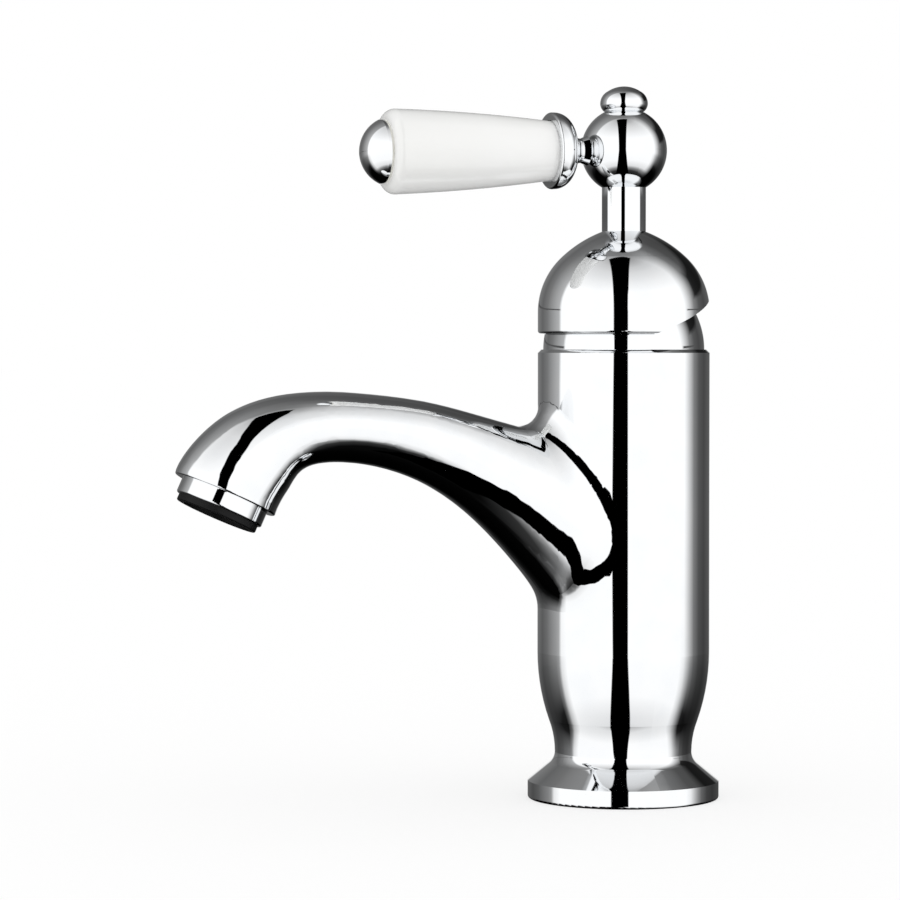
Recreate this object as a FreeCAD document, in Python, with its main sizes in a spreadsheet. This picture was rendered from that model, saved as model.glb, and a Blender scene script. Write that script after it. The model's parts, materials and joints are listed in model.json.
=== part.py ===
import FreeCAD, Part
import math
import operator
import os
import types

import Sketcher

# Single-lever basin mixer tap, in millimetres. +Z is up, and the origin is the centre of the base, in
# the plane that rests on the basin. The spout and the lever point along -Y.

Vector = FreeCAD.Vector
doc = FreeCAD.newDocument("BasinMixerTap")

driving_sizes = {
    # Casting, outside. A height is counted up from the edge below it
    "base_step": 5.8,
    "base_rim_height": 5.0,
    "base_edge_round": 0.8,
    "flare_step": 1.8,
    "flare_height": 4.7,
    "waist_inset": 4.9,
    "waist_height": 3.3,
    "swell_start_step": 1.7,
    "swell_start_height": 9.0,
    "swell_height": 19.0,
    "body_wall": 4.0,
    "body_height": 125.2,
    "body_edge_chamfer": 0.9,
    # Spout and its outlet
    "spout_reach": 115.3,
    "spout_crown_rise": 2.2,
    "outlet_drop": 38.9,
    "outlet_wall": 2.5,
    "outlet_tilt_angle": 24.5,
    "outlet_straight": 4.5,
    "outlet_edge_round": 0.5,
    "spout_blend_top": 7.0,
    "spout_blend_side": 18.0,
    "spout_blend_bottom": 10.0,
    # Casting, inside
    "gasket_groove_inset": 2.5,
    "gasket_groove_width": 4.0,
    "gasket_groove_depth": 1.6,
    "waist_wall": 3.6,
    "tail_cavity_slope_margin": 7.0,
    "inlet_block_height": 18.0,
    "tail_hole_radius": 5.0,
    "tail_hole_depth": 12.0,
    "stud_hole_radius": 4.0,
    "stud_hole_depth": 14.0,
    "stud_hole_offset": 9.0,
    "chamber_height": 16.0,
    "pillar_wall": 2.6,
    "port_plate_thickness": 5.0,
    "thread_relief": 2.55,
    "cartridge_thread_step": 2.5,
    "aerator_thread_radius": 12.0,
    # Cartridge
    "cartridge_radius": 17.5,
    "cartridge_clearance": 0.2,
    "inlet_port_radius": 2.6,
    "inlet_port_across": 7.0,
    "inlet_port_front": 4.6,
    "outlet_port_radius": 3.8,
    "outlet_port_back": 5.2,
    "port_seal_width": 1.3,
    "port_seal_thickness": 1.2,
    "cartridge_base_thickness": 5.0,
    "peg_radius": 1.5,
    "peg_length": 2.5,
    "peg_inset": 4.0,
    "housing_wall": 2.5,
    "housing_top_thickness": 2.0,
    "neck_wall": 3.0,
    "neck_inset": 4.3,
    "neck_rise": 4.15,
    "pivot_rise": 7.15,
    "fixed_disc_thickness": 4.0,
    "moving_disc_room": 3.5,
    "moving_disc_thickness": 3.0,
    "disc_film": 0.05,
    "mixing_recess_depth": 1.6,
    "mixing_recess_end_radius": 4.5,
    "mixing_recess_half_straight": 3.5,
    "mixing_recess_back": 1.6,
    "carrier_thickness": 4.2,
    "carrier_flat_inset": 2.2,
    "carrier_floor": 1.0,
    "running_clearance": 0.3,
    "rotor_flange_thickness": 2.2,
    "rotor_neck_clearance": 0.15,
    "rotor_neck_top_gap": 0.5,
    "guide_thickness": 2.6,
    "guide_half_length": 6.0,
    "o_ring_radius": 0.9,
    "o_ring_height": 4.0,
    "pin_radius": 1.5,
    "pin_end_gap": 0.5,
    "pin_fit": 0.02,
    "pin_play": 0.06,
    "slot_front_room": 3.4,
    "slot_back_room": 1.8,
    # Spindle
    "spindle_square": 8.0,
    "spindle_square_start": 5.8,
    "spindle_square_top": 20.8,
    "tongue_width": 7.6,
    "tongue_thickness": 6.0,
    "tongue_lift": 3.95,
    "spindle_leg_inset": 0.5,
    "spindle_ball_radius": 2.4,
    "handle_thread_depth": 10.0,
    # Retaining nut and ball cover
    "thread_clearance": 0.1,
    "nut_rise": 3.85,
    "nut_hex_height": 3.4,
    "nut_hex_inset": 6.0,
    "cover_inset": 1.5,
    "cover_wall": 1.5,
    "cover_opening_inset": 6.5,
    "cover_skirt_height": 3.6,
    # Handle dome
    "dome_clearance": 0.35,
    "dome_bottom_gap": 4.4,
    "dome_edge_round": 0.8,
    "dome_skirt_height": 6.0,
    "skirt_cut_margin": 4.0,
    "skirt_tuck_shift": 3.0,
    "skirt_tuck_step": 7.0,
    "skirt_tuck_depth": 5.6,
    "skirt_tuck_height": 6.0,
    "dome_crown_inset": 6.4,
    "dome_crown_height": 15.1,
    "dome_top_curve": 34.0,
    "dome_top_height": 7.3,
    "lift_angle": 17.0,
    "boss_radius": 8.0,
    "boss_rise": 8.8,
    "socket_clearance": 0.1,
    "socket_web": 2.2,
    "screw_radius": 2.4,
    "screw_head_step": 1.9,
    "screw_head_height": 2.9,
    "screw_socket_flats": 3.0,
    "screw_socket_depth": 1.6,
    # Stem, hub and finial
    "stem_step": 1.15,
    "stem_height": 22.5,
    "spigot_step": 0.4,
    "spigot_gap": 0.4,
    "hub_radius": 12.0,
    "finial_land": 0.6,
    "finial_foot_inset": 1.45,
    "finial_radius": 6.65,
    "finial_middle_height": 2.5,
    "finial_shoulder_inset": 2.05,
    "finial_shoulder_height": 3.4,
    "finial_top_height": 1.4,
    "finial_stud_length": 6.5,
    # Lever, each length counted out from the edge before it, and the first ones from the hub's centre
    "lever_droop_angle": 1.3,
    "stud_radius": 2.4,
    "stud_start": 3.0,
    "stud_end_gap": 0.8,
    "collar_seat": 0.7,
    "collar_foot_radius": 4.1,
    "collar_foot_length": 1.7,
    "collar_waist_radius": 3.4,
    "collar_bell_step": 3.0,
    "collar_bell_length": 3.2,
    "collar_rim_length": 4.8,
    "collar_lip_length": 1.3,
    "collar_lip_width": 2.1,
    "collar_lip_round": 0.7,
    "collar_recess_clearance": 0.4,
    "collar_recess_depth": 1.9,
    "lever_washer_thickness": 0.6,
    "porcelain_bore_clearance": 0.6,
    "porcelain_start_radius": 8.1,
    "porcelain_swell": 500.0,
    "porcelain_swell_step": 3.55,
    "porcelain_swell_length": 46.3,
    "porcelain_end_inset": 2.85,
    "porcelain_end_length": 2.9,
    "button_inset": 0.1,
    "button_edge": 0.8,
    "button_crown": 5.4,
    "button_thread_depth": 4.0,
    # Aerator, measured up from its housing's lower face
    "aerator_flange_step": 0.3,
    "aerator_flange_height": 4.3,
    "aerator_edge_round": 0.6,
    "aerator_thread_length": 8.0,
    "aerator_wall": 2.1,
    "aerator_insert_height": 7.7,
    "aerator_washer_thickness": 1.6,
    "nozzle_inset": 0.9,
    "nozzle_height": 1.9,
    "nozzle_wall": 2.0,
    "nozzle_recess": 1.2,
    "nozzle_edge_round": 0.4,
    "jet_hole_radius": 0.9,
    # How far a cutting shape runs past the face it cuts, and how near an edge lies to a face it is on
    "overrun": 1.0,
    "face_tolerance": 0.05,
}

sheet = doc.addObject("Spreadsheet::Sheet", "sizes")
for row, (name, value) in enumerate(driving_sizes.items(), start=1):
    sheet.set("A%d" % row, name)
    sheet.set("B%d" % row, str(value))
    sheet.setAlias("B%d" % row, name)
doc.recompute()

operations = {"+": operator.add, "-": operator.sub, "*": operator.mul, "/": operator.truediv}


class Size:
    """A number together with the sheet formula that gives it, so that a feature can be bound to it."""

    def __init__(self, value, formula):
        self.value = float(value)
        self.formula = formula

    def __add__(self, other):
        return joined(self, "+", other)

    def __radd__(self, other):
        return joined(other, "+", self)

    def __sub__(self, other):
        return joined(self, "-", other)

    def __rsub__(self, other):
        return joined(other, "-", self)

    def __mul__(self, other):
        return joined(self, "*", other)

    def __rmul__(self, other):
        return joined(other, "*", self)

    def __truediv__(self, other):
        return joined(self, "/", other)

    def __neg__(self):
        return joined(self, "*", -1)


def number(item):
    return item.value if isinstance(item, Size) else float(item)


def formula(item):
    return item.formula if isinstance(item, Size) else repr(float(item))


def joined(left, sign, right):
    value = operations[sign](number(left), number(right))
    return Size(value, "(%s %s %s)" % (formula(left), sign, formula(right)))


def side_of(long_side, other_side):
    """The third side of a right triangle, from its long side and another one."""
    square = long_side * long_side - other_side * other_side
    return Size(math.sqrt(square.value), "sqrt(%s)" % square.formula)


def sine(angle):
    return Size(math.sin(math.radians(angle.value)), "sin(%s * 1 deg)" % angle.formula)


def cosine(angle):
    return Size(math.cos(math.radians(angle.value)), "cos(%s * 1 deg)" % angle.formula)


def easing_radius(sideways, along):
    """The radius of an arc that covers these two distances and ends parallel to the second one."""
    return (sideways * sideways + along * along) / (sideways * 2)


size = types.SimpleNamespace(**{name: Size(sheet.get(name), "sizes." + name) for name in driving_sizes})


# Outlines: each step is (across, up), or an arc to there that bulges out of the solid or into it


def crown(across, up, radius):
    return (across, up, radius, 1)


def cove(across, up, radius):
    return (across, up, radius, -1)


def new_body(label):
    body = doc.addObject("PartDesign::Body", label)
    body.Label = label
    return body


def new_sketch(body, plane_role, level=0):
    plane = next(item for item in body.Origin.OriginFeatures if item.Role == plane_role)
    sketch = body.newObject("Sketcher::SketchObject", "Sketch")
    sketch.AttachmentSupport = [(plane, "")]
    sketch.MapMode = "FlatFace"
    if isinstance(level, Size):
        sketch.AttachmentOffset = FreeCAD.Placement(Vector(0, 0, level.value), FreeCAD.Rotation())
        sketch.setExpression("AttachmentOffset.Base.z", level.formula)
    return sketch


def hold_point(sketch, geometry, end, across, up):
    """Hold a point of the sketch at its distances from the sketch's origin."""
    for kind, distance, axis in (("DistanceX", across, -2), ("DistanceY", up, -1)):
        if number(distance) == 0:
            sketch.addConstraint(Sketcher.Constraint("PointOnObject", geometry, end, axis))
        else:
            held = Sketcher.Constraint(kind, -1, 1, geometry, end, number(distance))
            sketch.setExpression("Constraints[%d]" % sketch.addConstraint(held), formula(distance))


def hold_radius(sketch, geometry, radius):
    held = Sketcher.Constraint("Radius", geometry, number(radius))
    sketch.setExpression("Constraints[%d]" % sketch.addConstraint(held), formula(radius))


def arc_between(start, end, radius, turn):
    chord = end - start
    rise = math.sqrt(max(radius ** 2 - (chord.Length / 2) ** 2, 0))
    centre = (start + end) / 2 + Vector(-chord.y, chord.x, 0).normalize() * rise * turn
    first, last = (start, end) if turn > 0 else (end, start)
    angles = [math.atan2(point.y - centre.y, point.x - centre.x) for point in (first, last)]
    return Part.ArcOfCircle(Part.Circle(centre, Vector(0, 0, 1), radius), *angles)


def draw_outline(sketch, outline):
    """Draw a closed outline, walked with the solid on the left."""
    corners = [Vector(number(step[0]), number(step[1]), 0) for step in outline]
    edges = []
    for index, step in enumerate(outline):
        start, end = corners[index - 1], corners[index]
        if len(step) == 2:
            edges.append((sketch.addGeometry(Part.LineSegment(start, end)), 1, 2))
        else:
            arc = arc_between(start, end, number(step[2]), step[3])
            ends = (1, 2) if step[3] > 0 else (2, 1)
            edges.append((sketch.addGeometry(arc), *ends))
    for (before, _, leave), (after, enter, _) in zip(edges, edges[1:] + edges[:1]):
        sketch.addConstraint(Sketcher.Constraint("Coincident", before, leave, after, enter))
    for (edge, _, leave), step in zip(edges, outline):
        hold_point(sketch, edge, leave, step[0], step[1])
        if len(step) == 4:
            hold_radius(sketch, edge, step[2])


def draw_circle(sketch, across, up, radius):
    centre = Vector(number(across), number(up), 0)
    circle = sketch.addGeometry(Part.Circle(centre, Vector(0, 0, 1), number(radius)))
    hold_point(sketch, circle, 3, across, up)
    hold_radius(sketch, circle, radius)


def box_outline(left, front, right, back):
    return [(left, front), (right, front), (right, back), (left, back)]


def hexagon(flats):
    """A six-sided outline round the sketch's origin, from its width across flats."""
    corner = flats / 2 / math.cos(math.pi / 6)
    turns = [math.pi / 3 * index for index in range(6)]
    return [(corner * math.cos(turn), corner * math.sin(turn)) for turn in turns]


def draw_shapes(sketch, shapes):
    """Draw circles, given as (across, up, radius), and outlines, given as lists."""
    for shape in shapes:
        if isinstance(shape, list):
            draw_outline(sketch, shape)
        else:
            draw_circle(sketch, *shape)


def turn_shapes(body, shapes):
    """Turn shapes drawn in (radius, height) round the body's Z axis."""
    sketch = new_sketch(body, "XZ_Plane")
    draw_shapes(sketch, shapes)
    turned = body.newObject("PartDesign::Revolution", "Turned")
    turned.Profile = sketch
    turned.ReferenceAxis = (sketch, ["V_Axis"])
    turned.Angle = 360


def pad_up(body, shapes, bottom, height):
    sketch = new_sketch(body, "XY_Plane", bottom)
    draw_shapes(sketch, shapes)
    pad = body.newObject("PartDesign::Pad", "Pad")
    pad.Profile = sketch
    pad.setExpression("Length", formula(height))


def pocket_level(body, shapes, level, depth, upwards=False):
    sketch = new_sketch(body, "XY_Plane", level)
    draw_shapes(sketch, shapes)
    pocket = body.newObject("PartDesign::Pocket", "Pocket")
    pocket.Profile = sketch
    pocket.setExpression("Length", formula(depth))
    pocket.Reversed = upwards


def pocket_across(body, plane_role, shapes, width):
    """Cut shapes drawn on an upright plane through the body, as far to one side as to the other."""
    sketch = new_sketch(body, plane_role)
    draw_shapes(sketch, shapes)
    pocket = body.newObject("PartDesign::Pocket", "Pocket")
    pocket.Profile = sketch
    pocket.setExpression("Length", formula(width))
    pocket.Midplane = True


def turned_piece(label, outline):
    body = new_body(label)
    turn_shapes(body, [outline])
    return body


def sleeve(label, bore, radius, bottom, top):
    return turned_piece(label, [(bore, bottom), (radius, bottom), (radius, top), (bore, top)])


def bound_cylinder(name, radius, bottom, height, across=0, back=0):
    cylinder = doc.addObject("Part::Cylinder", name)
    cylinder.setExpression("Radius", formula(radius))
    cylinder.setExpression("Height", formula(height))
    cylinder.setExpression("Placement.Base.x", formula(across))
    cylinder.setExpression("Placement.Base.y", formula(back))
    cylinder.setExpression("Placement.Base.z", formula(bottom))
    return cylinder


def subtract(label, base, tools):
    """Cut tools from a base one after another, as bound booleans, the last of which takes the label."""
    for tool in tools:
        cut = doc.addObject("Part::Cut", label + "_cut")
        cut.Base = base
        cut.Tool = tool
        base = cut
    cut.Label = label
    return cut


def place(item, back, height, angle):
    """Turn a piece about X by an angle in degrees, and set it at a point of the middle plane."""
    turn = FreeCAD.Rotation(Vector(1, 0, 0), angle.value)
    item.Placement = FreeCAD.Placement(Vector(0, number(back), number(height)), turn)
    item.setExpression("Placement.Base.y", formula(back))
    item.setExpression("Placement.Base.z", formula(height))
    item.setExpression("Placement.Rotation.Angle", formula(angle))
    return item


# Levels that several pieces share

pivot_height = size.body_height
housing_shoulder = pivot_height - size.pivot_rise
housing_ceiling = housing_shoulder - size.housing_top_thickness
rotor_flange_top = housing_ceiling - size.running_clearance
rotor_bottom = rotor_flange_top - size.rotor_flange_thickness
carrier_top = rotor_bottom - size.running_clearance
moving_disc_top = carrier_top - size.carrier_thickness
moving_disc_bottom = moving_disc_top - size.moving_disc_thickness
fixed_disc_top = moving_disc_bottom - size.disc_film
housing_bottom = fixed_disc_top - size.fixed_disc_thickness
seat_height = housing_bottom - size.cartridge_base_thickness
housing_bore = size.cartridge_radius - size.housing_wall
neck_top = size.body_height + size.neck_rise
neck_outer_radius = size.cartridge_radius - size.neck_inset
neck_bore_radius = neck_outer_radius - size.neck_wall
rotor_neck_radius = neck_bore_radius - size.rotor_neck_clearance
rotor_top = neck_top - size.rotor_neck_top_gap
spindle_ball_height = moving_disc_top + size.carrier_floor + size.running_clearance + size.spindle_ball_radius
spindle_arm = pivot_height - spindle_ball_height
thread_radius = size.cartridge_radius + size.cartridge_thread_step
body_radius = thread_radius + size.body_wall
spigot_radius = size.screw_radius + size.screw_head_step + size.running_clearance + size.spigot_step
stem_radius = spigot_radius + size.stem_step
disc_travel = spindle_arm * sine(size.lift_angle)
disc_rest_back = disc_travel / 2
ports = {
    "hot": (-size.inlet_port_across, -size.inlet_port_front, size.inlet_port_radius),
    "cold": (size.inlet_port_across, -size.inlet_port_front, size.inlet_port_radius),
    "mixed": (0, size.outlet_port_back, size.outlet_port_radius),
}


# Casting: barrel, spout and waterways in one brass piece

waist_radius = body_radius - size.waist_inset
flare_end_radius = waist_radius + size.flare_step
base_radius = flare_end_radius + size.base_step
swell_start_radius = waist_radius + size.swell_start_step
flare_end_level = size.base_rim_height + size.flare_height
waist_level = flare_end_level + size.waist_height
swell_start_level = waist_level + size.swell_start_height
swell_end_level = swell_start_level + size.swell_height
outlet_height = size.body_height - size.outlet_drop
outlet_radius = size.aerator_thread_radius + size.outlet_wall
# How many points a section's curve runs through
section_points = 24
# The spout bends down to its outlet over this share of the outlet's radius, and this share above it
bend_length_share = 1.36
bend_height_share = 1.745
spout_span = size.spout_reach - outlet_radius * bend_length_share - body_radius
spout_rise = outlet_radius * bend_height_share + size.spout_crown_rise
# Each row is one section of the spout. Reaches are shares of the spout's span, counted from the barrel's
# face. Heights are counted from the outlet: above it they are shares of the spout's rise, and below it
# shares of the way down to the barrel's swell. Half widths are shares of the outlet's radius. The last
# number is how square the section is: 2 is an ellipse.
spout_section_shares = [
    # upper reach, upper height, lower reach, lower height, half width, squareness
    (-0.251, 0.35, -0.251, -0.83, 1.20, 2.1),
    (0.000, 0.54, 0.000, -0.66, 1.30, 2.1),
    (0.167, 0.69, 0.105, -0.445, 1.16, 2.15),
    (0.321, 0.80, 0.259, -0.197, 1.02, 2.15),
    (0.502, 0.91, 0.454, 0.04, 0.92, 2.2),
    (0.713, 0.98, 0.705, 0.27, 0.89, 2.1),
    (0.950, 1.00, 0.922, 0.29, 0.90, 2.05),
]
# The same for the bend, but counted from the outlet's centre, all in shares of the outlet's radius
bend_section_shares = [
    (-0.642, 1.745, -1.360, 0.36, 0.93, 2.0),
    (0.082, 1.403, -1.196, 0.114, 0.97, 2.0),
]
# The waterway's sections fill this share of the spout's own, from the third row on
waterway_height_shares = [0.45, 0.55, 0.65, 0.68, 0.68, 0.66]
waterway_width_share = 0.62
chamber_mouth_share = 0.42

tilt = math.radians(size.outlet_tilt_angle.value)
outlet_centre = (size.spout_reach.value, outlet_height.value)
upstream = (-math.sin(tilt), math.cos(tilt))
outward = (math.cos(tilt), math.sin(tilt))


def section_wire(upper, lower, half_width, squareness=2.0):
    """A closed section of the spout between an upper and a lower point of (reach, height), in quarters."""
    middle = [(a + b) / 2 for a, b in zip(upper, lower)]
    lean = [(a - b) / 2 for a, b in zip(upper, lower)]
    points = []
    for index in range(section_points):
        angle = 2 * math.pi * index / section_points
        side, rise = [math.copysign(abs(part) ** (2 / squareness), part)
                      for part in (math.cos(angle), math.sin(angle))]
        reach, height = [centre + step * rise for centre, step in zip(middle, lean)]
        points.append(Vector(half_width * side, -reach, height))
    curve = Part.BSplineCurve()
    curve.interpolate(Points=points, PeriodicFlag=True)
    quarter = section_points // 4
    stops = [curve.parameter(point) for point in points[quarter::quarter]]
    stops = [curve.FirstParameter, *stops, curve.LastParameter]
    return Part.Wire([curve.toShape(*ends) for ends in zip(stops, stops[1:])])


def outlet_section(along, radius):
    """A round section of the outlet, so far upstream of its end face."""
    centre = [start + step * along for start, step in zip(outlet_centre, upstream)]
    upper = [start + step * radius for start, step in zip(centre, outward)]
    lower = [start - step * radius for start, step in zip(centre, outward)]
    return section_wire(upper, lower, radius)


def spout_station(shares):
    reach, height = body_radius.value, outlet_height.value
    root_depth = (outlet_height - swell_end_level).value
    upper_reach, upper_height, lower_reach, lower_height, half_width, squareness = shares
    points = [
        (reach + along * spout_span.value, height + up * (spout_rise.value if up > 0 else root_depth))
        for along, up in ((upper_reach, upper_height), (lower_reach, lower_height))
    ]
    return *points, half_width * outlet_radius.value, squareness


def bend_station(shares):
    upper_reach, upper_height, lower_reach, lower_height, half_width, squareness = shares
    points = [
        tuple(start + share * outlet_radius.value for start, share in zip(outlet_centre, pair))
        for pair in ((upper_reach, upper_height), (lower_reach, lower_height))
    ]
    return *points, half_width * outlet_radius.value, squareness


def loft_feature(name, sections):
    feature = doc.addObject("Part::Feature", name)
    feature.Shape = Part.makeLoft(sections, True, False)
    return feature


stations = [spout_station(shares) for shares in spout_section_shares]
stations += [bend_station(shares) for shares in bend_section_shares]
spout_form = loft_feature("spout_form", [section_wire(*station) for station in stations] + [
    outlet_section(size.outlet_straight.value, outlet_radius.value),
    outlet_section(0, outlet_radius.value),
])

barrel = turned_piece("barrel_form", [
    (0, 0),
    (base_radius - size.base_edge_round, 0),
    crown(base_radius, size.base_edge_round, size.base_edge_round),
    (base_radius, size.base_rim_height),
    (flare_end_radius, flare_end_level),
    cove(waist_radius, waist_level, easing_radius(size.flare_step, size.waist_height)),
    cove(swell_start_radius, swell_start_level, easing_radius(
        size.swell_start_step, size.swell_start_height)),
    crown(body_radius, swell_end_level, easing_radius(
        size.waist_inset - size.swell_start_step, size.swell_height)),
    (body_radius, size.body_height - size.body_edge_chamfer),
    (body_radius - size.body_edge_chamfer, size.body_height),
    (0, size.body_height),
])
doc.recompute()

joined_form = doc.addObject("Part::Fuse", "joined_form")
joined_form.Base = barrel
joined_form.Tool = spout_form
doc.recompute()


def lies_on_barrel(edge):
    """True for an edge where the spout meets the straight part of the barrel."""
    middle = edge.valueAt((edge.FirstParameter + edge.LastParameter) / 2)
    off_barrel = abs(math.hypot(middle.x, middle.y) - body_radius.value)
    above_swell = edge.BoundBox.ZMin > swell_end_level.value
    below_top = edge.BoundBox.ZMax < (size.body_height - size.body_edge_chamfer).value
    return off_barrel < size.face_tolerance.value and above_swell and below_top and middle.y < 0


def lies_on_outlet(edge):
    """True for an edge of the outlet's end face."""
    centre = Vector(0, -outlet_centre[0], outlet_centre[1])
    middle = edge.valueAt((edge.FirstParameter + edge.LastParameter) / 2)
    off_rim = [abs((point - centre).Length - outlet_radius.value)
               for point in (edge.firstVertex().Point, middle, edge.lastVertex().Point)]
    return max(off_rim) < size.face_tolerance.value


def blend_radius(vertex):
    """The blend's radius where the spout's foot crosses its top, side or bottom."""
    if abs(vertex.X) > size.face_tolerance.value:
        return size.spout_blend_side.value
    return size.spout_blend_top.value if vertex.Z > outlet_height.value else size.spout_blend_bottom.value


blend = doc.addObject("Part::Fillet", "blended_form")
blend.Base = joined_form
blend.Edges = [
    (index, blend_radius(edge.firstVertex()), blend_radius(edge.lastVertex()))
    for index, edge in enumerate(joined_form.Shape.Edges, start=1) if lies_on_barrel(edge)
] + [
    (index, size.outlet_edge_round.value, size.outlet_edge_round.value)
    for index, edge in enumerate(joined_form.Shape.Edges, start=1) if lies_on_outlet(edge)
]

tail_cavity_radius = waist_radius - size.waist_wall
chamber_radius = body_radius - size.body_wall
chamber_ceiling = seat_height - size.port_plate_thickness
chamber_floor = chamber_ceiling - size.chamber_height
tail_cavity_top = chamber_floor - size.inlet_block_height
tail_cavity = turned_piece("tail_cavity_core", [
    (0, -size.overrun),
    (tail_cavity_radius, -size.overrun),
    (tail_cavity_radius, waist_level + size.tail_cavity_slope_margin),
    (chamber_radius, swell_end_level - size.tail_cavity_slope_margin),
    (chamber_radius, tail_cavity_top),
    (0, tail_cavity_top),
])
groove_radius = base_radius - size.gasket_groove_inset
gasket_groove = sleeve("gasket_groove_core", groove_radius - size.gasket_groove_width, groove_radius,
                       -size.overrun, size.gasket_groove_depth)
thread_floor = housing_shoulder - size.thread_relief
cartridge_core = turned_piece("cartridge_core", [
    (0, seat_height),
    (size.cartridge_radius + size.cartridge_clearance, seat_height),
    (size.cartridge_radius + size.cartridge_clearance, thread_floor),
    (thread_radius, thread_floor),
    (thread_radius, size.body_height + size.overrun),
    (0, size.body_height + size.overrun),
])
chamber = bound_cylinder("chamber_core", chamber_radius, chamber_floor, size.chamber_height)
pillars = [
    bound_cylinder(side + "_pillar", size.inlet_port_radius + size.pillar_wall,
                   chamber_floor - size.overrun, size.chamber_height + size.overrun * 2,
                   *ports[side][:2])
    for side in ("hot", "cold")
]
chamber_round_pillars = subtract("chamber_round_pillars", chamber, pillars)
port_bores = [
    bound_cylinder(side + "_bore", radius, tail_cavity_top,
                   seat_height - tail_cavity_top + size.overrun, across, back)
    for side, (across, back, radius) in ports.items() if side != "mixed"
]
mixed_bore = bound_cylinder(
    "mixed_bore", size.outlet_port_radius, chamber_ceiling - size.overrun,
    size.port_plate_thickness + size.overrun * 2, 0, size.outlet_port_back)
tail_holes = [
    bound_cylinder(side + "_tail_hole", size.tail_hole_radius, tail_cavity_top - size.overrun,
                   size.tail_hole_depth + size.overrun, *ports[side][:2])
    for side in ("hot", "cold")
]
stud_hole = bound_cylinder(
    "stud_hole", size.stud_hole_radius, tail_cavity_top - size.overrun,
    size.stud_hole_depth + size.overrun, 0, size.stud_hole_offset)
peg_across = size.cartridge_radius - size.peg_inset
peg_holes = [
    bound_cylinder(side + "_peg_hole", size.peg_radius + size.cartridge_clearance,
                   seat_height - size.peg_length - size.cartridge_clearance,
                   size.peg_length + size.cartridge_clearance + size.overrun, across)
    for side, across in (("hot", -peg_across), ("cold", peg_across))
]

aerator_depth = size.aerator_thread_length + size.aerator_washer_thickness
aerator_bore = place(
    bound_cylinder("aerator_bore", size.aerator_thread_radius, 0, aerator_depth + size.overrun),
    -size.spout_reach + size.overrun * sine(-size.outlet_tilt_angle),
    outlet_height - size.overrun * cosine(size.outlet_tilt_angle), -size.outlet_tilt_angle)
thread_outside = size.aerator_thread_radius - size.thread_clearance
aerator_bore_radius = thread_outside - size.aerator_wall


def waterway_section(station, height_share):
    upper, lower, half_width, squareness = station
    middle = [(a + b) / 2 for a, b in zip(upper, lower)]
    inner = [[centre + (end - centre) * height_share for centre, end in zip(middle, edge)]
             for edge in (upper, lower)]
    return section_wire(*inner, half_width * waterway_width_share)


mouth_reach = chamber_radius.value / 2
mouth_middle = (chamber_floor + size.chamber_height / 2).value
mouth_half = size.chamber_height.value * chamber_mouth_share
waterway = loft_feature("waterway_core", [
    section_wire((mouth_reach, mouth_middle + mouth_half), (mouth_reach, mouth_middle - mouth_half),
                 chamber_radius.value * chamber_mouth_share)
] + [
    waterway_section(station, share) for station, share in zip(stations[2:], waterway_height_shares)
] + [
    outlet_section(aerator_depth.value, aerator_bore_radius.value)
])

subtract("tap_body", blend, [
    tail_cavity, gasket_groove, cartridge_core, chamber_round_pillars, *port_bores, mixed_bore,
    *tail_holes, stud_hole, *peg_holes, aerator_bore, waterway,
])

sleeve("base_gasket", groove_radius - size.gasket_groove_width + size.cartridge_clearance,
       groove_radius - size.cartridge_clearance, 0, size.gasket_groove_depth)


# Cartridge: base with its seals, housing, two ceramic discs, carrier, rotor and pin

cartridge_base = new_body("cartridge_base")
pad_up(cartridge_base, [(0, 0, size.cartridge_radius)], seat_height, size.cartridge_base_thickness)
pad_up(cartridge_base, [(side, 0, size.peg_radius) for side in (-peg_across, peg_across)],
       seat_height - size.peg_length, size.peg_length + size.cartridge_base_thickness / 2)
pocket_level(cartridge_base, list(ports.values()), housing_bottom, size.cartridge_base_thickness)
seal_recesses = [
    (across, back, radius + size.port_seal_width + size.cartridge_clearance)
    for across, back, radius in ports.values()
]
pocket_level(cartridge_base, seal_recesses, seat_height, size.port_seal_thickness, upwards=True)
pocket_level(cartridge_base, seal_recesses, housing_bottom, size.port_seal_thickness)


def port_rings(label, bottom):
    """One ring round each of the three ports, kept together as one node of separate solids."""
    rings = []
    for side, (across, back, radius) in ports.items():
        ring = bound_cylinder(label + "_" + side, radius + size.port_seal_width, bottom,
                              size.port_seal_thickness, across, back)
        bore = bound_cylinder(label + "_" + side + "_bore", radius + size.cartridge_clearance,
                              bottom - size.overrun, size.port_seal_thickness + size.overrun * 2,
                              across, back)
        rings.append(subtract(label + "_" + side + "_ring", ring, [bore]))
    group = doc.addObject("Part::Compound", label)
    group.Links = rings
    group.Label = label


port_rings("inlet_seals", seat_height)
port_rings("disc_seals", housing_bottom - size.port_seal_thickness)

fixed_disc = new_body("fixed_disc")
pad_up(fixed_disc, [(0, 0, housing_bore - size.cartridge_clearance)], housing_bottom,
       size.fixed_disc_thickness)
pocket_level(fixed_disc, list(ports.values()), fixed_disc_top, size.fixed_disc_thickness)

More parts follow.
